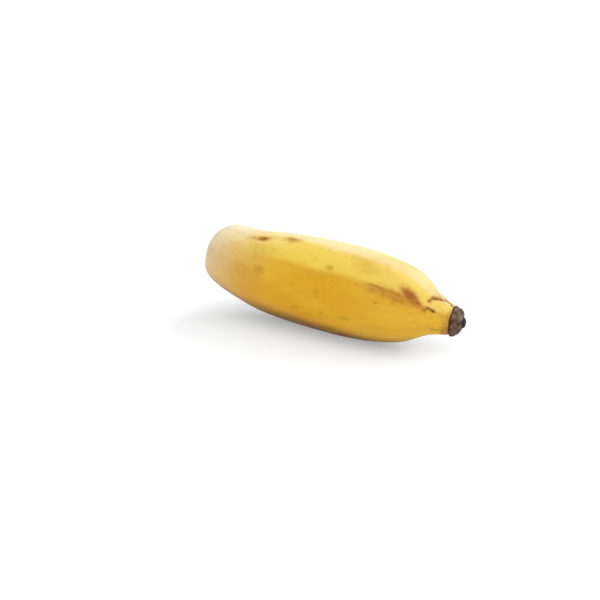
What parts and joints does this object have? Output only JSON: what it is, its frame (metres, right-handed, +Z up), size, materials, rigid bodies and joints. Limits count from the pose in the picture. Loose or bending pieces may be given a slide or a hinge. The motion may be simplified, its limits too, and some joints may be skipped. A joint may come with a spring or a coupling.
{
  "type": "apple banana",
  "caption": "Short, plump banana lying on its belly, with soft ridges, a blunt stem end and a drooping neck that ends in a dried flower.",
  "frame": {"origin": "on the surface the fruit lies on, under the middle of its bounding box", "axes": "+X from the stem end to the blossom end, +Z up, +Y to the side that the neck bends towards"},
  "size_m": [0.1218, 0.0358, 0.0357],
  "materials": {
    "peel": "satin",
    "dried_flower": "matte"
  },
  "bodies": {
    "root": {"fruit": "peel", "flower_remnant": "dried_flower"}
  },
  "joints": []
}
